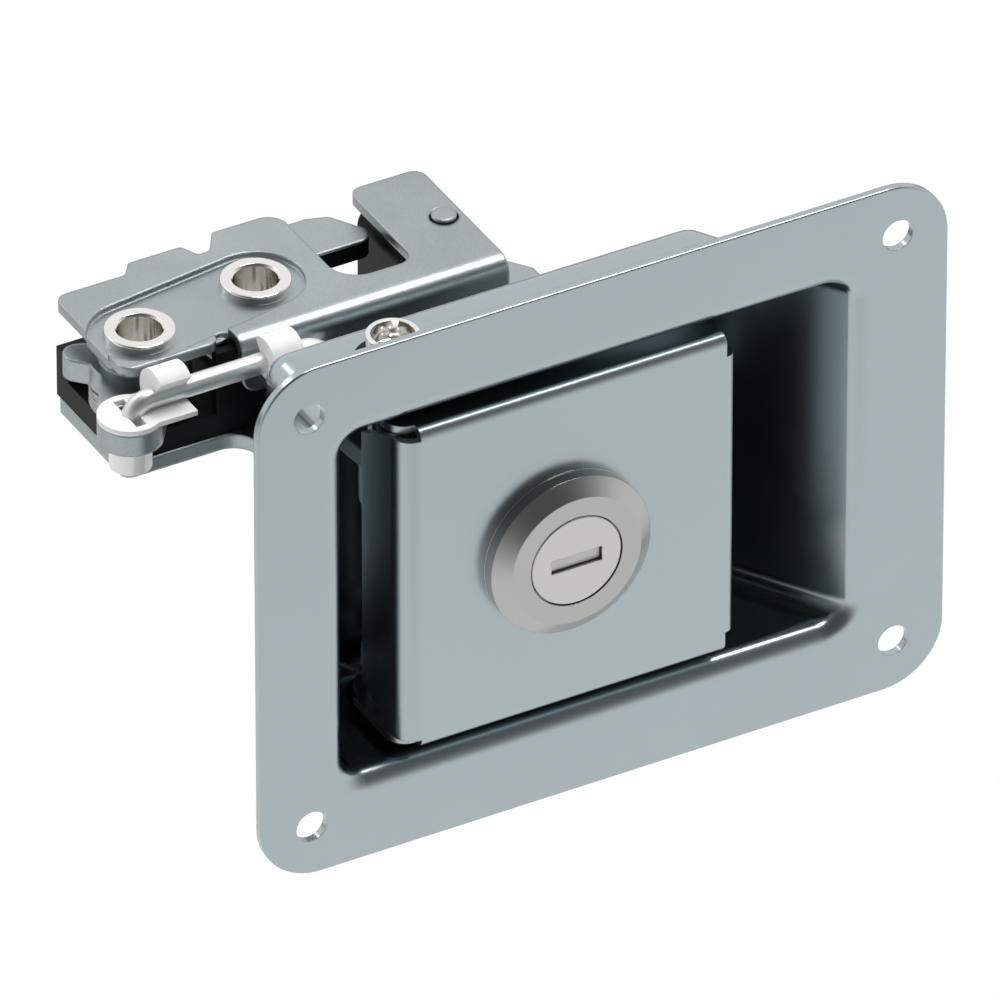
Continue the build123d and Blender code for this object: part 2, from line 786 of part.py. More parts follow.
# Mounting bracket: the base plate of the latch, carried forward and bent down against the pan's back
bracket_front = pan_back - rivet_y
with BuildPart() as mounting_bracket:
    with BuildSketch(level(base_under)):
        Polygon(
            (plate_left, plate_front),
            (bracket_neck_x, plate_front),
            (bracket_neck_x, bracket_front),
            (bracket_right, bracket_front),
            (bracket_right, bracket_corner_y),
            (bracket_corner_x, base_back),
            (mouth_right, base_back),
            (mouth_right, mouth_end),
            (mouth_left, mouth_end),
            (mouth_left, base_back),
            (plate_left, base_back),
            align=None,
        )
    extrude(amount=base_t)

    for x, y, radius in (
        (bracket_neck_x, plate_front, bracket_neck_r),
        (mouth_left, mouth_end, mouth_left_r),
        (mouth_right, mouth_end, mouth_right_r),
        (plate_left, plate_front, bracket_edge_r),
        (plate_left, base_back, bracket_edge_r),
        (mouth_left, base_back, bracket_edge_r),
        (mouth_right, base_back, bracket_edge_r),
    ):
        fillet(upright_edges(mounting_bracket, x, y), radius=radius)
    with BuildSketch(level(base_under)):
        with Locations(((bracket_neck_x + bracket_right) / 2, bracket_front + base_t / 2)):
            Rectangle(bracket_right - bracket_neck_x, base_t)
    extrude(amount=-bracket_tail)
    long_edges = mounting_bracket.edges().filter_by(Axis.X)
    top_bend = long_edges.filter_by_position(Axis.Z, base_top - near, base_top + near).sort_by(Axis.Y)[0]
    fillet(top_bend, radius=bracket_bend_r)
    under_y = pan_back + base_t
    under_bend = mounting_bracket.edges().filter_by(Axis.X).filter_by_position(
        Axis.Z, base_under - near, base_under + near
    ).filter_by_position(Axis.Y, under_y - near, under_y + near)
    fillet(under_bend, radius=bracket_bend_r - base_t)
    tail_corners = mounting_bracket.edges().filter_by(Axis.Y).sort_by(Axis.Z)[:2]
    fillet(tail_corners, radius=bracket_neck_r)
    with Locations(level(base_top)):
        with Locations((0, 0), (second_x, second_y)):
            Cylinder(rivet_shank_r, hole_cutter_l, mode=Mode.SUBTRACT)
    with BuildSketch(facing(pan_back)):
        with Locations(*pan_rivet_places):
            Circle(pan_rivet_r)
    extrude(amount=-base_t, mode=Mode.SUBTRACT)
mounting_bracket.part.label = "mounting_bracket"
export_step(mounting_bracket.part, "parts/mounting_bracket.step")

# Four rivets that hold the bracket to the pan's back
bracket_back = pan_back + base_t
with BuildPart() as bracket_rivets:
    for y, radius, depth in (
        (pan_floor, pan_rivet_r, bracket_back - pan_floor),
        (pan_floor - pan_rivet_head_front, pan_rivet_head_r, pan_rivet_head_front),
        (bracket_back, pan_rivet_head_r, pan_rivet_head_back),
    ):
        with BuildSketch(facing(y)):
            with Locations(*pan_rivet_places):
                Circle(radius)
        extrude(amount=-depth)
    back_rims = bracket_rivets.faces().filter_by(Axis.Y).sort_by(Axis.Y)[-4:].edges()
    fillet(back_rims, radius=pan_rivet_head_front)
bracket_rivets.part.label = "bracket_rivets"
export_step(bracket_rivets.part, "parts/bracket_rivets.step")

# Housing of the latch: a moulded floor with bosses, walls and a block beside the mouth
with BuildPart() as latch_housing:
    with BuildSketch(level(base_top)):
        Polygon(
            (housing_left, housing_front),
            (housing_right, housing_front),
            (housing_right, housing_arm_back),
            (housing_mouth_right, housing_arm_back),
            (housing_mouth_right, housing_mouth_end),
            (housing_mouth_left, housing_mouth_end),
            (housing_mouth_left, base_back),
            (housing_left, base_back),
            align=None,
        )
    extrude(amount=floor_t)
    with BuildSketch(level(floor_top)):
        with Locations(((housing_left + rear_wall_right) / 2, (rear_wall_front + base_back) / 2)):
            Rectangle(rear_wall_right - housing_left, base_back - rear_wall_front)
    extrude(amount=trigger_under - rear_wall_gap - floor_top)
    with BuildSketch(level(floor_top)):
        with Locations(((front_wall_left + housing_right) / 2, housing_front + housing_wall / 2)):
            Rectangle(housing_right - front_wall_left, housing_wall)
        with Locations(((housing_mouth_right + housing_right) / 2, (housing_front + housing_arm_back) / 2)):
            Rectangle(housing_right - housing_mouth_right, housing_arm_back - housing_front)
    extrude(amount=housing_top - floor_top)
    mouth_rims = latch_housing.edges().filter_by(Axis.Y).filter_by_position(
        Axis.Z, housing_top - near, housing_top + near
    ).sort_by(Axis.X)
    fillet(mouth_rims[-1], radius=block_right_r)
    fillet(mouth_rims[-2], radius=block_left_r)
    with BuildSketch(level(floor_top)):
        Circle(boss_r)
    extrude(amount=trigger_under - run_gap - floor_top)
    with BuildSketch(level(floor_top)):
        with Locations((second_x, second_y)):
            Circle(boss_r)
    extrude(amount=rotor_under - run_gap - floor_top)
    with Locations(level(base_top)):
        with Locations((0, 0), (second_x, second_y)):
            Cylinder(rivet_shank_r, hole_cutter_l, mode=Mode.SUBTRACT)
    with BuildSketch(level(floor_top)):
        with Locations((stud_x, stud_y)):
            Circle(stud_r)
    extrude(amount=housing_top - floor_top, mode=Mode.SUBTRACT)
latch_housing.part.label = "latch_housing"
export_step(latch_housing.part, "parts/latch_housing.step")

# Stop stud through the block beside the mouth, proud of the top plate
with BuildPart() as stop_stud:
    with BuildSketch(level(floor_top)):
        with Locations((stud_x, stud_y)):
            Circle(stud_r)
    extrude(amount=plate_top + stud_stand - floor_top)
    chamfer(stop_stud.faces().sort_by(Axis.Z)[-1].edges(), length=stud_edge)
stop_stud.part.label = "stop_stud"
export_step(stop_stud.part, "parts/stop_stud.step")

# Rubber bumper at the closed end of the mouth
with BuildPart() as mouth_bumper:
    with BuildSketch(level(base_top)):
        with Locations(((housing_mouth_left + housing_mouth_right) / 2, housing_mouth_end + bumper_t / 2)):
            Rectangle(housing_mouth_right - housing_mouth_left, bumper_t)
    extrude(amount=rotor_under - bumper_gap - base_top)
    front_rims = mouth_bumper.edges().filter_by(Axis.X).sort_by(Axis.Y)[-2:]
    fillet(front_rims.sort_by(Axis.Z)[-1], radius=bumper_edge_r)
mouth_bumper.part.label = "mouth_bumper"
export_step(mouth_bumper.part, "parts/mouth_bumper.step")

# Rotor: a flat hook whose horn closes the mouth, with a tooth that the pawl holds
tooth_angle = 90 + pawl_angle


def polar(radius, angle):
    """Plan point at a radius and an angle in degrees."""
    return (radius * cos(radians(angle)), radius * sin(radians(angle)))


def rotor_sheet(z):
    """Plan sheet with its origin on the rotor's axis."""
    return Plane(origin=(rivet_x + second_x, rivet_y + second_y, z))


with BuildSketch() as rotor_outline:
    Polygon(
        (0, 0),
        polar(rotor_hub_r - tooth_root_inset, tooth_angle),
        polar(rotor_tooth_r, tooth_angle),
        polar(rotor_tooth_r, tooth_angle - tooth_span / 2),
        polar(rotor_tooth_r, tooth_angle - tooth_span),
        (horn_root, horn_back),
        *horn_end,
        (horn_tip, horn_front),
        (throat_x, horn_front),
        (throat_x, jaw_back),
        (jaw_tip, jaw_back),
        (jaw_tip, jaw_front),
        (jaw_root, jaw_front),
        (hub_flat_x, hub_flat_y),
        align=None,
    )
    for x, y, radius in (
        (*horn_end[0], horn_end_r[0]),
        (*horn_end[1], horn_end_r[1]),
        (horn_tip, horn_front, horn_front_r),
        (throat_x, horn_front, throat_r),
        (throat_x, jaw_back, throat_r),
        (jaw_tip, jaw_back, jaw_tip_r),
        (jaw_tip, jaw_front, jaw_tip_r),
    ):
        corner = rotor_outline.vertices().filter_by(
            lambda v: abs(v.X - x) < edge_reach and abs(v.Y - y) < edge_reach
        )
        fillet(corner, radius=radius)
    Circle(rotor_hub_r)
    Circle(rivet_shank_r + run_gap, mode=Mode.SUBTRACT)

with BuildSketch() as overmould_band:
    with BuildSketch(mode=Mode.PRIVATE) as core:
        add(rotor_outline.sketch)
        offset(amount=-overmould_t, mode=Mode.REPLACE)
    add(rotor_outline.sketch)
    add(core.sketch, mode=Mode.SUBTRACT)
    with Locations((overmould_start - 2 * horn_tip, 0)):
        Rectangle(4 * horn_tip, 4 * horn_tip, mode=Mode.SUBTRACT)

cap_under = rotor_top - rotor_cap_t
with BuildPart() as rotor:
    with BuildSketch(rotor_sheet(rotor_under)):
        add(rotor_outline.sketch)
    extrude(amount=rotor_t)
    with BuildSketch(rotor_sheet(rotor_under)):
        add(overmould_band.sketch)
    extrude(amount=rotor_t - rotor_cap_t, mode=Mode.SUBTRACT)
    with BuildSketch(rotor_sheet(rotor_top)):
        Circle(boss_r)
        Circle(rivet_shank_r + run_gap, mode=Mode.SUBTRACT)
    extrude(amount=dish_under - run_gap - rotor_top)
rotor.part.label = "rotor"
export_step(rotor.part, "parts/rotor.step")

with BuildPart() as rotor_overmould:
    with BuildSketch(rotor_sheet(rotor_under)):
        add(overmould_band.sketch)
    extrude(amount=rotor_t - rotor_cap_t)
rotor_overmould.part.label = "rotor_overmould"
export_step(rotor_overmould.part, "parts/rotor_overmould.step")

# Trigger lever: hub on the left rivet, an arm to the rod's eye, a spring ear and the pawl's nose
strut_x = cos(radians(pawl_angle))
strut_y = sin(radians(pawl_angle))
nose_end = second_x * strut_x + second_y * strut_y - pawl_gap


def along_strut(along, across):
    """Plan point from its distance along and across the pawl's line of force."""
    return (along * strut_x - across * strut_y, along * strut_y + across * strut_x)


with BuildPart() as trigger_lever:
    with BuildSketch(level(trigger_under)):
        with BuildSketch(mode=Mode.PRIVATE) as arm_ends:
            Circle(trigger_arm_r)
            with Locations((eye_x, eye_y)):
                Circle(eye_r)
        make_hull(arm_ends.edges())
        Circle(trigger_hub_r)
        with BuildSketch(mode=Mode.PRIVATE) as ear_ends:
            with Locations((ear_x, ear_y)):
                Circle(ear_r)
            Circle(ear_root_r)
        make_hull(ear_ends.edges())
        Polygon(
            *[along_strut(*point) for point in pawl_web],
            along_strut(nose_end, -pawl_low),
            along_strut(nose_end, pawl_high),
            *[along_strut(*point) for point in pawl_back],
            align=None,
        )
        Circle(rivet_shank_r + run_gap, mode=Mode.SUBTRACT)
        with Locations((eye_x, eye_y)):
            Circle(clip_barrel_r + run_gap, mode=Mode.SUBTRACT)
    extrude(amount=trigger_t)
    with BuildSketch(level(trigger_top)):
        Circle(boss_r)
        Circle(rivet_shank_r + run_gap, mode=Mode.SUBTRACT)
    extrude(amount=dish_under - run_gap - trigger_top)
trigger_lever.part.label = "trigger_lever"
export_step(trigger_lever.part, "parts/trigger_lever.step")

# Hollow rivets: shafts of the trigger and the rotor, and through holes for the fixing screws
for name, x, y in (("pawl_rivet", 0, 0), ("rotor_rivet", second_x, second_y)):
    with BuildPart() as hollow_rivet:
        with BuildSketch(level(base_under - rivet_head_t)):
            with Locations((x, y)):
                Circle(rivet_head_r)
        extrude(amount=rivet_head_t)
        with BuildSketch(level(base_under)):
            with Locations((x, y)):
                Circle(rivet_shank_r)
        extrude(amount=dish_floor - base_under)
        with BuildSketch(level(dish_floor)):
            with Locations((x, y)):
                Circle(rivet_head_r)
        extrude(amount=rivet_head_t)
        fillet(hollow_rivet.faces().sort_by(Axis.Z)[-1].edges(), radius=rivet_rim_r)
        with BuildSketch(level(base_under - rivet_head_t)):
            with Locations((x, y)):
                Circle(rivet_bore_r)
        extrude(amount=dish_floor - base_under + 2 * rivet_head_t, mode=Mode.SUBTRACT)
        bore_rim = hollow_rivet.faces().sort_by(Axis.Z)[-1].edges().sort_by(SortBy.RADIUS)[0]
        chamfer(bore_rim, length=rivet_mouth_edge)
    hollow_rivet.part.label = name
    export_step(hollow_rivet.part, f"parts/{name}.step")


def torsion_spring(centre, low_z, radius, wire_d, pitch, full_turns, low_target, high_target):
    """Coil of round wire with a straight leg from each end towards its target."""
    legs = []
    for target, side in ((low_target, 1), (high_target, -1)):
        dx = target[0] - centre[0]
        dy = target[1] - centre[1]
        reach = sqrt(dx**2 + dy**2)
        angle = degrees(atan2(dy, dx) + side * acos(radius / reach))
        legs.append((angle, sqrt(reach**2 - radius**2)))
    (first, low_leg), (last, high_leg) = legs
    turns = full_turns + ((last - first) % 360) / 360
    coil = Helix(pitch=pitch, height=turns * pitch, radius=radius, mode=Mode.PRIVATE)
    coil = Location((*centre, low_z), (0, 0, first)) * coil
    with BuildPart() as spring:
        with BuildLine() as path:
            Line(coil @ 0 - (coil % 0) * low_leg, coil @ 0)
            add(coil)
            Line(coil @ 1, coil @ 1 + (coil % 1) * high_leg)
        run = path.wire()
        with BuildSketch(Plane(origin=run @ 0, z_dir=run % 0)):
            Circle(wire_d / 2)
        sweep(path=run)
    return spring.part


# Return spring round the hinge tube, from the pan's floor to the back of the paddle
with BuildPart() as return_spring:
    add(torsion_spring(
        centre=(hinge_x, hinge_y),
        low_z=return_spring_low,
        radius=tube_r + fine_wire / 2 + coil_gap,
        wire_d=fine_wire,
        pitch=fine_wire + turn_gap,
        full_turns=return_turns,
        low_target=(return_leg_x, pan_floor - fine_wire / 2 - run_gap),
        high_target=(hinge_x - return_leg_in, face_back + fine_wire / 2 + run_gap),
    ))
return_spring.part.label = "return_spring"
export_step(return_spring.part, "parts/return_spring.step")

# Pawl spring between the housing's floor and the trigger
with BuildPart() as pawl_spring:
    add(torsion_spring(
        centre=(rivet_x, rivet_y),
        low_z=floor_top + wire / 2 + coil_lift,
        radius=boss_r + wire / 2 + pawl_coil_gap,
        wire_d=wire,
        pitch=wire + turn_gap,
        full_turns=pawl_turns,
        low_target=(rivet_x + pawl_leg_low[0], rivet_y + pawl_leg_low[1]),
        high_target=(rivet_x + pawl_leg_high[0], rivet_y + pawl_leg_high[1]),
    ))
pawl_spring.part.label = "pawl_spring"
export_step(pawl_spring.part, "parts/pawl_spring.step")

# Rotor spring between the housing's floor and the rotor
with BuildPart() as rotor_spring:
    add(torsion_spring(
        centre=(rivet_x + second_x, rivet_y + second_y),
        low_z=floor_top + wire / 2 + coil_lift,
        radius=boss_r + wire / 2 + coil_gap,
        wire_d=wire,
        pitch=wire + 2 * turn_gap,
        full_turns=rotor_turns,
        low_target=(rivet_x + second_x + rotor_leg_low[0], rivet_y + second_y + rotor_leg_low[1]),
        high_target=(rivet_x + second_x + rotor_leg_high[0], rivet_y + second_y + rotor_leg_high[1]),
    ))
rotor_spring.part.label = "rotor_spring"
export_step(rotor_spring.part, "parts/rotor_spring.step")
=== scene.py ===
"""A flush slam latch: a keyed paddle in a pressed tray, with a rotary latch behind it."""

import logging
import math
from dataclasses import dataclass
from enum import Enum

import bmesh
import bpy
from mathutils import Matrix, Vector

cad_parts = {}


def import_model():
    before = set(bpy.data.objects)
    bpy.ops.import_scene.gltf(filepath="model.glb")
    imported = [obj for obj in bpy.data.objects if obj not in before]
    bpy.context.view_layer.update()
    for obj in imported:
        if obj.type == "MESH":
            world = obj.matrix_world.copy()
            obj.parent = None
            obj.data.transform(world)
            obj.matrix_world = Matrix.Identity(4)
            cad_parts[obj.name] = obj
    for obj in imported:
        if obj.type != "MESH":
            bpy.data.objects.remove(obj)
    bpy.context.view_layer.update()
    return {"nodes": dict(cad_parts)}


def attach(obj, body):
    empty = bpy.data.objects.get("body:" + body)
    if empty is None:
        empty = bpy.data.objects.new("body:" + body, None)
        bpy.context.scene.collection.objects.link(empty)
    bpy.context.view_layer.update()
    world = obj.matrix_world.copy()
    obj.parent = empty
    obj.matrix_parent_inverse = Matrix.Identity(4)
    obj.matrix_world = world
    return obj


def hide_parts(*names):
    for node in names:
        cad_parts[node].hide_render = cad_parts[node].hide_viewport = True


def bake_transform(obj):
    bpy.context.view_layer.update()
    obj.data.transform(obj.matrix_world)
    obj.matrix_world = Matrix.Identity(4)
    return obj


LOG = logging.getLogger("slam_latch")
Point = tuple[float, float, float]
MM = 0.001
WHITE = (1.0, 1.0, 1.0, 1.0)

# Vertices that lie nearer than this are merged in a copied piece
MERGE_MM = 0.001
# Levels and radii that differ by less than this count as the same
SAME_MM = 0.01

# The fine grain and the broad clouds of every finish
GRAIN_DETAIL, GRAIN_ROUGHNESS = 3.0, 0.6
CLOUD_MM, CLOUD_DETAIL, CLOUD_ROUGHNESS = 18.0, 2.0, 0.5
RELIEF_MM = 0.02
EDGE_SAMPLES = 6
SCATTER_MM = 0.5

# The colour sockets of the mix node, which has some of the same name
MIX_SHARE, MIX_FIRST, MIX_SECOND, MIX_RESULT = 0, 6, 7, 2


def linear(hex_colour: str) -> tuple[float, float, float, float]:
    """Turn an sRGB hex colour into a linear one.

    Args:
        hex_colour: Six hexadecimal digits after a hash sign.

    Returns:
        Red, green, blue and an alpha of one.
    """
    parts = [int(hex_colour[i : i + 2], 16) / 255 for i in (1, 3, 5)]
    red, green, blue = [p / 12.92 if p <= 0.04045 else ((p + 0.055) / 1.055) ** 2.4 for p in parts]
    return (red, green, blue, 1.0)


def add_node(
    tree: bpy.types.NodeTree,
    kind: str,
    settings: dict[str, object] | None = None,
    inputs: dict[str | int, object] | None = None,
) -> bpy.types.Node:
    """Add a node with its settings, values and links.

    Args:
        tree: The node tree that gets the node.
        kind: The node's type name.
        settings: Properties of the node.
        inputs: Socket names or numbers, each with a value or an output socket to link.

    Returns:
        The new node.
    """
    node = tree.nodes.new(kind)
    for name, value in (settings or {}).items():
        setattr(node, name, value)
    for key, value in (inputs or {}).items():
        if isinstance(value, bpy.types.NodeSocket):
            tree.links.new(value, node.inputs[key])
        else:
            node.inputs[key].default_value = value
    return node


class Grain(Enum):
    """How the tiny texture of a surface lies."""

    EVEN = (1.0, 1.0, 1.0)
    ALONG_X = (0.04, 1.0, 1.0)


def add_noise(
    tree: bpy.types.NodeTree,
    vector: bpy.types.NodeSocket,
    size_mm: float,
    detail: float,
    roughness: float,
) -> bpy.types.NodeSocket:
    """Add a noise pattern.

    Args:
        tree: The node tree that gets it.
        vector: The coordinates that it lies on.
        size_mm: The size of its spots in millimetres.
        detail: How many finer layers it has.
        roughness: How strong those layers are.

    Returns:
        The pattern's grey value.
    """
    return add_node(
        tree,
        "ShaderNodeTexNoise",
        None,
        {"Vector": vector, "Scale": 1 / (size_mm * MM), "Detail": detail, "Roughness": roughness},
    ).outputs["Fac"]


def add_fade(
    tree: bpy.types.NodeTree,
    value: bpy.types.NodeSocket,
    start: float,
    end: float,
    level: float,
) -> bpy.types.NodeSocket:
    """Add a smooth fall from one to a lower level.

    Args:
        tree: The node tree that gets it.
        value: What it follows.
        start: The value at which it begins to fall.
        end: The value from which it stays low.
        level: How low that is.

    Returns:
        The fading value.
    """
    return add_node(
        tree,
        "ShaderNodeMapRange",
        {"interpolation_type": "SMOOTHSTEP"},
        {"Value": value, "From Min": start, "From Max": end, "To Min": 1.0, "To Max": level},
    ).outputs[0]


@dataclass(frozen=True)
class Finish:
    """A surface finish built as a node material."""

    title: str
    colour: str
    shade: str
    metallic: float
    roughness: float
    grain_mm: float
    bump: float
    roughness_swing: float = 0.06
    edge_mm: float = 0.15
    grain: Grain = Grain.EVEN
    specular: float = 0.5
    subsurface: float = 0.0
    speck: float = 0.0

    def grain_vector(self, tree: bpy.types.NodeTree) -> bpy.types.NodeSocket:
        """Give the coordinates that the grain is laid out on, in metres.

        Args:
            tree: The material's node tree.

        Returns:
            The piece's own coordinates, stretched along the grain.
        """
        coordinates = add_node(tree, "ShaderNodeTexCoord")
        return add_node(
            tree,
            "ShaderNodeMapping",
            {"vector_type": "POINT"},
            {"Vector": coordinates.outputs["Object"], "Scale": self.grain.value},
        ).outputs["Vector"]

    def material(self) -> bpy.types.Material:
        """Build the material once, and give the same one again after that.

        Returns:
            The finish as a Blender material.
        """
        known = bpy.data.materials.get(self.title)
        if known:
            return known
        made = bpy.data.materials.new(self.title)
        made.use_nodes = True
        tree = made.node_tree
        tree.nodes.clear()
        vector = self.grain_vector(tree)
        fine = add_noise(tree, vector, self.grain_mm, GRAIN_DETAIL, GRAIN_ROUGHNESS)
        cloud = add_noise(tree, vector, CLOUD_MM, CLOUD_DETAIL, CLOUD_ROUGHNESS)
        sparkle = add_node(
            tree,
            "ShaderNodeMath",
            {"operation": "MULTIPLY_ADD"},
            {0: fine, 1: self.speck, 2: -self.speck / 2},
        )
        share = add_node(
            tree,
            "ShaderNodeMath",
            {"operation": "ADD", "use_clamp": True},
            {0: cloud, 1: sparkle.outputs[0]},
        )
        tint = add_node(
            tree,
            "ShaderNodeMix",
            {"data_type": "RGBA"},
            {
                MIX_SHARE: share.outputs[0],
                MIX_FIRST: linear(self.colour),
                MIX_SECOND: linear(self.shade),
            },
        )
        gloss = add_node(
            tree,
            "ShaderNodeMapRange",
            None,
            {
                "Value": fine,
                "To Min": self.roughness - self.roughness_swing,
                "To Max": self.roughness + self.roughness_swing,
            },
        )
        edge = add_node(
            tree, "ShaderNodeBevel", {"samples": EDGE_SAMPLES}, {"Radius": self.edge_mm * MM}
        )
        relief = add_node(
            tree,
            "ShaderNodeBump",
            None,
            {
                "Strength": self.bump,
                "Distance": RELIEF_MM * MM,
                "Height": fine,
                "Normal": edge.outputs["Normal"],
            },
        )
        surface = add_node(
            tree,
            "ShaderNodeBsdfPrincipled",
            None,
            {
                "Base Color": tint.outputs[MIX_RESULT],
                "Metallic": self.metallic,
                "Roughness": gloss.outputs["Result"],
                "Specular IOR Level": self.specular,
                "Subsurface Weight": self.subsurface,
                "Subsurface Scale": SCATTER_MM * MM,
                "Normal": relief.outputs["Normal"],
            },
        )
        add_node(tree, "ShaderNodeOutputMaterial", None, {"Surface": surface.outputs["BSDF"]})
        return made


# Zinc plate on pressed steel: smooth, cool and even, with mirror-like depths in the recess
ZINC_PLATE = Finish(
    "zinc_plated_sheet", "#AAB5B9", "#A7B2B6", 1.0, 0.22, 0.9, 0.06, 0.03, edge_mm=0.2
)
# The same plate a little duller, which softens the band of light on the paddle's upper bend
PADDLE_ZINC = Finish(
    "zinc_plated_paddle", "#ACB7BB", "#AAB5B9", 1.0, 0.29, 0.9, 0.06, 0.03, edge_mm=0.2
)
# Zinc plate on blanked steel: a sparkling fine grain
BLANKED_ZINC = Finish(
    "zinc_plated_blank", "#B1B9BB", "#929A9C", 1.0, 0.34, 0.30, 1.0, 0.12, edge_mm=0.6, speck=0.9
)
# Nickel plate on turned steel: polished and slightly warm
NICKEL = Finish("nickel_plated_steel", "#ECEBE8", "#E3E1DE", 1.0, 0.08, 0.5, 0.04, 0.02)
# Die-cast lock alloy, turned and plated
LOCK_ALLOY = Finish("turned_lock_alloy", "#B4B5B3", "#AEAFAD", 1.0, 0.22, 0.3, 0.06, 0.03)
# Plug face: satin, lighter than the bezel
PLUG_FACE = Finish("satin_plug_alloy", "#D2D0CE", "#CBC9C7", 1.0, 0.40, 0.25, 0.10, 0.03)
# Shutter behind the key slot: dull stainless steel
SHUTTER_STEEL = Finish("shutter_steel", "#CACAC8", "#C0C0BE", 1.0, 0.45, 0.3, 0.15, 0.05)
# Bright drawn steel wire with faint marks along its run
DRAWN_WIRE = Finish(
    "drawn_steel_wire", "#ECECEA", "#E0E1DF", 1.0, 0.40, 0.4, 0.30, 0.06, grain=Grain.ALONG_X
)
# Acetal clips: white, slightly translucent, with a soft moulded gloss
WHITE_ACETAL = Finish(
    "white_acetal", "#FEFDFC", "#FCFBFA", 0.0, 0.42, 0.6, 0.12, specular=0.3, subsurface=0.1
)
# Glass-filled nylon: black, finely grained
BLACK_NYLON = Finish("black_nylon", "#151618", "#101113", 0.0, 0.46, 0.3, 0.35, specular=0.15)
# Rubber: black and dull
BLACK_RUBBER = Finish("black_rubber", "#111112", "#0D0D0E", 0.0, 0.62, 0.3, 0.30, specular=0.12)
# Spring wire: darker drawn steel
SPRING_WIRE = Finish("spring_wire", "#B4B4B4", "#A6A6A6", 1.0, 0.28, 0.3, 0.20)

NODE_FINISHES: dict[str, Finish] = {
    "tray": ZINC_PLATE,
    "paddle": PADDLE_ZINC,
    "drive_lever": BLANKED_ZINC,
    "hinge_bush_top": BLACK_NYLON,
    "hinge_bush_bottom": BLACK_NYLON,
    "hinge_tube": NICKEL,
    "lock_ring": LOCK_ALLOY,
    "lock_housing": LOCK_ALLOY,
    "lock_nut": BLANKED_ZINC,
    "lock_plug": PLUG_FACE,
    "lock_cam": BLANKED_ZINC,
    "lock_cam_screw": NICKEL,
    "connecting_rod": DRAWN_WIRE,
    "rod_clip_latch": WHITE_ACETAL,
    "rod_clip_paddle": WHITE_ACETAL,
    "latch_top_plate": BLANKED_ZINC,
    "mounting_bracket": BLANKED_ZINC,
    "bracket_rivets": NICKEL,
    "latch_housing": BLACK_NYLON,
    "stop_stud": BLANKED_ZINC,
    "mouth_bumper": BLACK_RUBBER,
    "rotor": BLANKED_ZINC,
    "rotor_overmould": BLACK_NYLON,
    "trigger_lever": BLANKED_ZINC,
    "pawl_rivet": NICKEL,
    "rotor_rivet": NICKEL,
    "return_spring": SPRING_WIRE,
    "pawl_spring": SPRING_WIRE,
    "rotor_spring": SPRING_WIRE,
}


@dataclass(frozen=True)
class Softbox:
    """A square light that looks at the part."""

    title: str
    place: Point
    size: float
    watts: float

    def hang(self) -> None:
        """Add the light to the scene."""
        lamp = bpy.data.lights.new(self.title, "AREA")
        lamp.shape = "SQUARE"
        lamp.size = self.size
        lamp.energy = self.watts
        holder = bpy.data.objects.new(self.title, lamp)
        bpy.context.scene.collection.objects.link(holder)
        holder.location = self.place
        holder.rotation_mode = "QUATERNION"
        holder.rotation_quaternion = (-Vector(self.place)).to_track_quat("-Z", "Y")


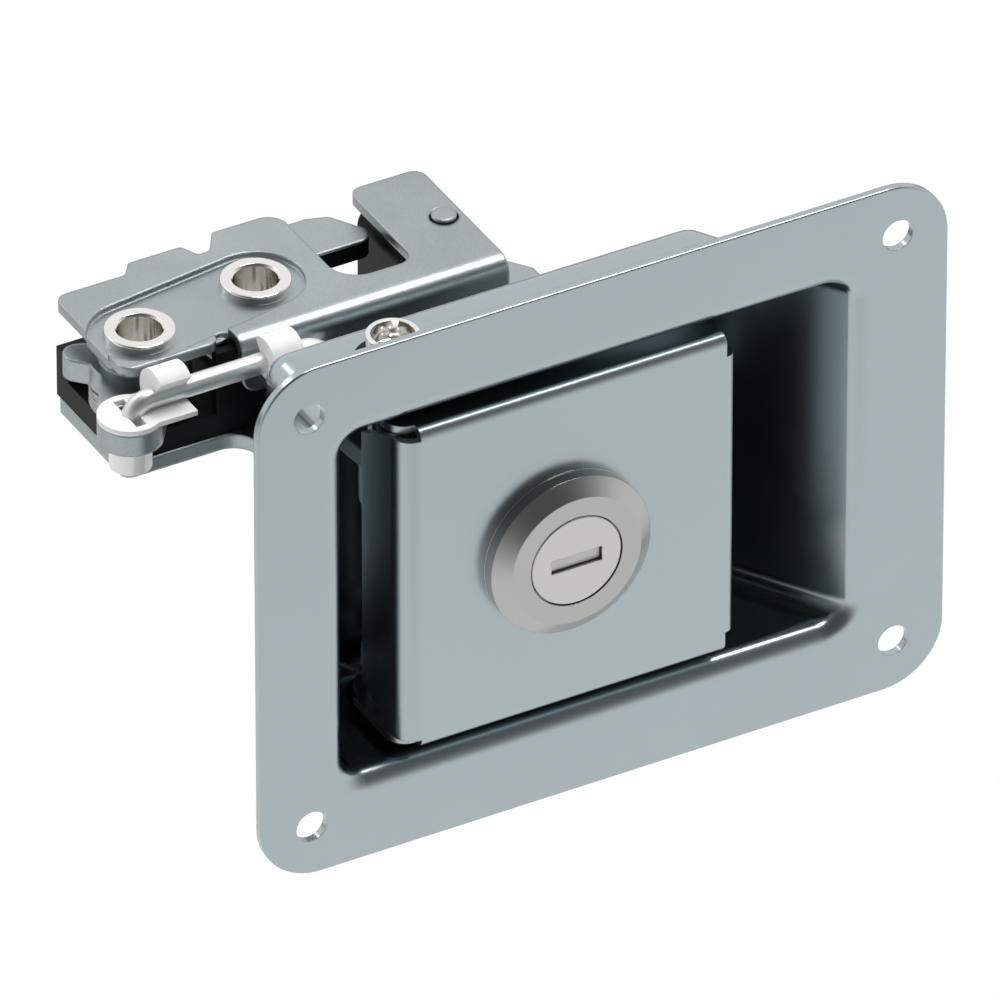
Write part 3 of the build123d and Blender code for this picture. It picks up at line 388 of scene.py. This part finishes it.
@dataclass
class Studio:
    """Camera, lights and floor, set as the photograph shows the part."""

    centre: Point = (-16.46 * MM, -1.2 * MM, 10.72 * MM)
    right: Point = (0.8752, -0.4838, 0.0)
    up: Point = (0.2758, 0.4989, 0.8216)
    frame_width: float = 136.8 * MM
    lens: float = 800.0
    sensor: float = 36.0
    nearest: float = 0.05
    farthest: float = 50.0
    softboxes: tuple[Softbox, ...] = (
        Softbox("top_light", (0.3, 0.05, 1.1), 0.60, 7.5),
        Softbox("edge_light", (-0.40, 0.75, 0.85), 0.25, 1.0),
    )
    floor_level: float = -0.09
    floor_size: float = 8.0
    floor_dim_from: float = 0.03
    floor_dim_to: float = 0.45
    floor_dim_level: float = 0.42
    dark_side: Point = (-0.20, -0.65, 0.73)
    dark_from: float = 0.05
    dark_to: float = 0.93
    dark_level: float = 0.12
    bounces: int = 16
    spark_limit: float = 3.0

    def camera(self) -> None:
        """Place the long lens so that the frame's middle is the measured point of the flange."""
        distance = self.frame_width * self.lens / self.sensor
        right, up = Vector(self.right).normalized(), Vector(self.up).normalized()
        back = right.cross(up)
        turn = Matrix((right, up, back)).transposed()
        lens = bpy.data.cameras.new("photo_camera")
        lens.lens = self.lens
        lens.sensor_width = self.sensor
        lens.clip_start, lens.clip_end = self.nearest, self.farthest
        camera = bpy.data.objects.new("photo_camera", lens)
        bpy.context.scene.collection.objects.link(camera)
        place = Matrix.Translation(Vector(self.centre) + back * distance)
        camera.matrix_world = place @ turn.to_4x4()
        bpy.context.scene.camera = camera

    def world(self) -> None:
        """Surround the part with a white room, dark on one side in what surfaces reflect."""
        world = bpy.data.worlds.new("studio_room")
        bpy.context.scene.world = world
        world.use_nodes = True
        tree = world.node_tree
        tree.nodes.clear()
        direction = add_node(tree, "ShaderNodeTexCoord").outputs["Generated"]
        level = self.brightness(tree, direction)
        seen = add_node(tree, "ShaderNodeLightPath").outputs["Is Camera Ray"]
        room, white = [
            add_node(tree, "ShaderNodeBackground", None, {"Color": WHITE, "Strength": strength})
            for strength in (level, 1.0)
        ]
        mixed = add_node(
            tree, "ShaderNodeMixShader", None, {0: seen, 1: room.outputs[0], 2: white.outputs[0]}
        )
        add_node(tree, "ShaderNodeOutputWorld", None, {"Surface": mixed.outputs[0]})

    def brightness(
        self, tree: bpy.types.NodeTree, direction: bpy.types.NodeSocket
    ) -> bpy.types.NodeSocket:
        """Give the room's brightness in a direction, which falls off towards its dark side.

        Args:
            tree: The node tree of the world or the floor.
            direction: The unit direction from the part.

        Returns:
            The brightness as a socket.
        """
        towards = Vector(self.dark_side).normalized()
        facing = add_node(
            tree, "ShaderNodeVectorMath", {"operation": "DOT_PRODUCT"}, {0: direction, 1: towards}
        )
        return add_fade(
            tree, facing.outputs["Value"], self.dark_from, self.dark_to, self.dark_level
        )

    def floor(self) -> None:
        """Lay the plain pale floor, which is clear from below.

        The camera sees it as bright as the backdrop. Surfaces reflect it dimmer in its far half
        and towards the room's dark side.
        """
        bpy.ops.mesh.primitive_plane_add(size=self.floor_size, location=(0, 0, 0))
        floor = bpy.context.object
        floor.name = "studio_floor"
        floor.data.transform(Matrix.Translation((0, 0, self.floor_level)))
        made = bpy.data.materials.new("pale_floor")
        made.use_nodes = True
        tree = made.node_tree
        tree.nodes.clear()
        place = add_node(tree, "ShaderNodeTexCoord").outputs["Object"]
        parts = add_node(tree, "ShaderNodeSeparateXYZ", None, {0: place})
        depth = add_fade(
            tree,
            parts.outputs["Y"],
            self.floor_dim_from,
            self.floor_dim_to,
            self.floor_dim_level,
        )
        seen = add_node(tree, "ShaderNodeLightPath").outputs["Is Camera Ray"]
        away = add_node(tree, "ShaderNodeVectorMath", {"operation": "NORMALIZE"}, {0: place})
        level = self.brightness(tree, away.outputs["Vector"])
        both = add_node(tree, "ShaderNodeMath", {"operation": "MULTIPLY"}, {0: level, 1: depth})
        strength = add_node(
            tree, "ShaderNodeMath", {"operation": "MAXIMUM"}, {0: seen, 1: both.outputs[0]}
        )
        paint = add_node(
            tree, "ShaderNodeEmission", None, {"Color": WHITE, "Strength": strength.outputs[0]}
        )
        below = add_node(tree, "ShaderNodeNewGeometry").outputs["Backfacing"]
        clear = add_node(tree, "ShaderNodeBsdfTransparent")
        sided = add_node(
            tree, "ShaderNodeMixShader", None, {0: below, 1: paint.outputs[0], 2: clear.outputs[0]}
        )
        add_node(tree, "ShaderNodeOutputMaterial", None, {"Surface": sided.outputs[0]})
        floor.data.materials.append(made)

    def build(self) -> None:
        """Set up the whole studio."""
        self.camera()
        self.world()
        for softbox in self.softboxes:
            softbox.hang()
        self.floor()
        paths = bpy.context.scene.cycles
        paths.max_bounces = self.bounces
        paths.glossy_bounces = self.bounces
        paths.sample_clamp_indirect = self.spark_limit
        view = bpy.context.scene.view_settings
        view.view_transform = "Standard"
        view.look = "None"


def add_block(name: str, size: Point, centre: Point) -> bpy.types.Object:
    """Add a block whose origin stays at the frame's own.

    Args:
        name: The block's name.
        size: Its edges in millimetres.
        centre: Its middle in millimetres.

    Returns:
        The block, in edit mode with all of it selected.
    """
    bpy.ops.object.select_all(action="DESELECT")
    bpy.ops.mesh.primitive_cube_add(size=1.0)
    block = bpy.context.object
    block.name = name
    bpy.ops.object.mode_set(mode="EDIT")
    bpy.ops.transform.resize(value=[edge * MM for edge in size])
    bpy.ops.transform.translate(value=[place * MM for place in centre])
    return block


def copy_form(name: str, source: bpy.types.Object) -> bpy.types.Object:
    """Copy the form of a carried-over piece, with its doubled vertices merged.

    Args:
        name: The copy's name.
        source: The piece of the frame.

    Returns:
        The copy, selected and active.
    """
    piece = bpy.data.objects.new(name, source.data.copy())
    bpy.context.scene.collection.objects.link(piece)
    bpy.ops.object.select_all(action="DESELECT")
    piece.select_set(True)
    bpy.context.view_layer.objects.active = piece
    bpy.ops.object.mode_set(mode="EDIT")
    bpy.ops.mesh.select_all(action="SELECT")
    bpy.ops.mesh.remove_doubles(threshold=MERGE_MM * MM)
    bpy.ops.object.mode_set(mode="OBJECT")
    return piece


def dress_piece(piece: bpy.types.Object, finish: Finish, smooth_below: float) -> None:
    """Smooth the active new piece and give it its finish.

    Args:
        piece: The new piece, selected and active.
        finish: Its finish.
        smooth_below: Edges with a smaller angle than this are shaded smooth, in degrees.
    """
    bpy.ops.object.shade_smooth_by_angle(angle=math.radians(smooth_below))
    piece.data.materials.clear()
    piece.data.materials.append(finish.material())
    LOG.info("%s: %s", piece.name, finish.title)


@dataclass
class KeyShutter:
    """The dull steel plate that closes the key slot from inside."""

    centre_x: float = -6.8
    front_y: float = -5.05
    length: float = 7.7
    height: float = 2.0
    thickness: float = 0.6
    edge: float = 0.12
    edge_segments: int = 3
    smooth_below: float = 40.0

    def build(self) -> bpy.types.Object:
        """Model the shutter and hang it on the plug.

        Returns:
            The finished piece.
        """
        piece = add_block(
            "key_shutter",
            (self.length, self.thickness, self.height),
            (self.centre_x, self.front_y + self.thickness / 2, 0.0),
        )
        bpy.ops.mesh.bevel(offset=self.edge * MM, segments=self.edge_segments)
        bpy.ops.object.mode_set(mode="OBJECT")
        dress_piece(piece, SHUTTER_STEEL, self.smooth_below)
        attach(piece, "key_body")
        return piece


@dataclass
class SlottedClip:
    """The white clip at the latch, with the slot moulded across its head."""

    node: str = "rod_clip_latch"
    axis_x: float = -58.2
    axis_y: float = 27.8
    top_z: float = 21.6
    width: float = 1.6
    length: float = 6.8
    depth: float = 2.6
    smooth_below: float = 30.0

    def build(self, nodes: dict[str, bpy.types.Object]) -> bpy.types.Object:
        """Copy the clip's form and cut its slot.

        Args:
            nodes: The pieces of the frame by name.

        Returns:
            The finished piece.
        """
        cutter = add_block(
            "clip_slot_cutter",
            (self.width, self.length, 2 * self.depth),
            (self.axis_x, self.axis_y, self.top_z),
        )
        bpy.ops.object.mode_set(mode="OBJECT")
        piece = copy_form("rod_clip_slotted", nodes[self.node])
        cut = piece.modifiers.new("slot", "BOOLEAN")
        cut.operation, cut.solver, cut.object = "DIFFERENCE", "EXACT", cutter
        bpy.ops.object.modifier_apply(modifier=cut.name)
        bpy.data.objects.remove(cutter)
        dress_piece(piece, WHITE_ACETAL, self.smooth_below)
        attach(piece, "rod_body")
        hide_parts(self.node)
        return piece


@dataclass
class HollowPin:
    """The tube that the paddle turns on: thin-walled at its ends, solid between its two bowls."""

    node: str = "hinge_tube"
    axis_x: float = -25.7
    axis_y: float = 12.3
    radius: float = 3.75
    wall: float = 0.65
    length: float = 66.7
    well_depth: float = 3.0
    bowl_steps: tuple[tuple[float, float], ...] = ((0.5, 1.1), (0.7, 0.8), (0.8, 0.5), (0.6, 0.2))
    rim: float = 0.2
    rim_segments: int = 4
    sides: int = 96
    smooth_below: float = 40.0

    def build(self) -> bpy.types.Object:
        """Model the tube in place of the carried-over one.

        Returns:
            The finished piece.
        """
        bpy.ops.object.select_all(action="DESELECT")
        bpy.ops.mesh.primitive_cylinder_add(
            vertices=self.sides, radius=self.radius * MM, depth=self.length * MM
        )
        piece = bpy.context.object
        piece.name = "hinge_pin_hollow"
        bpy.ops.object.mode_set(mode="EDIT")
        for end in (1, -1):
            self.sink_end(piece, end)
        self.round_rims(piece)
        bpy.ops.mesh.select_all(action="SELECT")
        bpy.ops.transform.translate(value=(self.axis_x * MM, self.axis_y * MM, 0))
        bpy.ops.object.mode_set(mode="OBJECT")
        dress_piece(piece, NICKEL, self.smooth_below)
        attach(piece, "paddle_body")
        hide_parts(self.node)
        return piece

    def sink_end(self, piece: bpy.types.Object, end: int) -> None:
        """Inset one end face, sink it and form its bowl.

        Args:
            piece: The tube, in edit mode.
            end: One for the top end and minus one for the bottom end.
        """
        level = end * self.length / 2 * MM
        mesh = bmesh.from_edit_mesh(piece.data)
        for face in mesh.faces:
            face.select_set(abs(face.calc_center_median().z - level) < self.rim * MM)
        bmesh.update_edit_mesh(piece.data)
        bpy.ops.mesh.inset(thickness=self.wall * MM)
        bpy.ops.mesh.extrude_region_move(
            TRANSFORM_OT_translate={"value": (0, 0, -end * self.well_depth * MM)}
        )
        for sink, inward in self.bowl_steps:
            bpy.ops.mesh.inset(thickness=inward * MM, depth=-sink * MM)

    def round_rims(self, piece: bpy.types.Object) -> None:
        """Round the inner and outer edges of both end rings.

        Args:
            piece: The tube, in edit mode.
        """
        mesh = bmesh.from_edit_mesh(piece.data)
        bpy.ops.mesh.select_all(action="DESELECT")
        for edge in mesh.edges:
            ends = [abs(abs(v.co.z) - self.length / 2 * MM) < SAME_MM * MM for v in edge.verts]
            radii = [math.hypot(v.co.x, v.co.y) for v in edge.verts]
            edge.select_set(all(ends) and abs(radii[0] - radii[1]) < SAME_MM * MM)
        bmesh.update_edit_mesh(piece.data)
        bpy.ops.mesh.bevel(offset=self.rim * MM, segments=self.rim_segments)


@dataclass
class WindingSpring:
    """The paddle's return spring, which the paddle winds up as it turns: one leg stays on the
    tray. The copy here stays rigid.
    """

    node: str = "return_spring"
    axis_x: float = -25.7
    axis_y: float = 12.3
    end_turn: float = 1.5
    smooth_below: float = 50.0

    def build(self, nodes: dict[str, bpy.types.Object]) -> bpy.types.Object:
        """Copy the spring's form and give it its finish, in place of the carried-over one.

        Args:
            nodes: The pieces of the frame by name.

        Returns:
            The finished piece.
        """
        piece = copy_form("return_spring_wound", nodes[self.node])
        dress_piece(piece, SPRING_WIRE, self.smooth_below)
        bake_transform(piece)
        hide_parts(self.node)
        return piece


def dress_nodes(nodes: dict[str, bpy.types.Object]) -> None:
    """Give every carried-over piece its finish.

    Args:
        nodes: The pieces of the frame by name.
    """
    for name, piece in nodes.items():
        piece.data.materials.clear()
        piece.data.materials.append(NODE_FINISHES[name].material())
        LOG.info("%s: %s", name, NODE_FINISHES[name].title)


def main() -> None:
    """Build the studio and every piece, in order."""
    logging.basicConfig(level=logging.INFO)
    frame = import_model()
    Studio().build()
    dress_nodes(frame["nodes"])
    KeyShutter().build()
    SlottedClip().build(frame["nodes"])
    HollowPin().build()
    WindingSpring().build(frame["nodes"])
    bpy.context.view_layer.update()


if __name__ == "__main__":
    main()
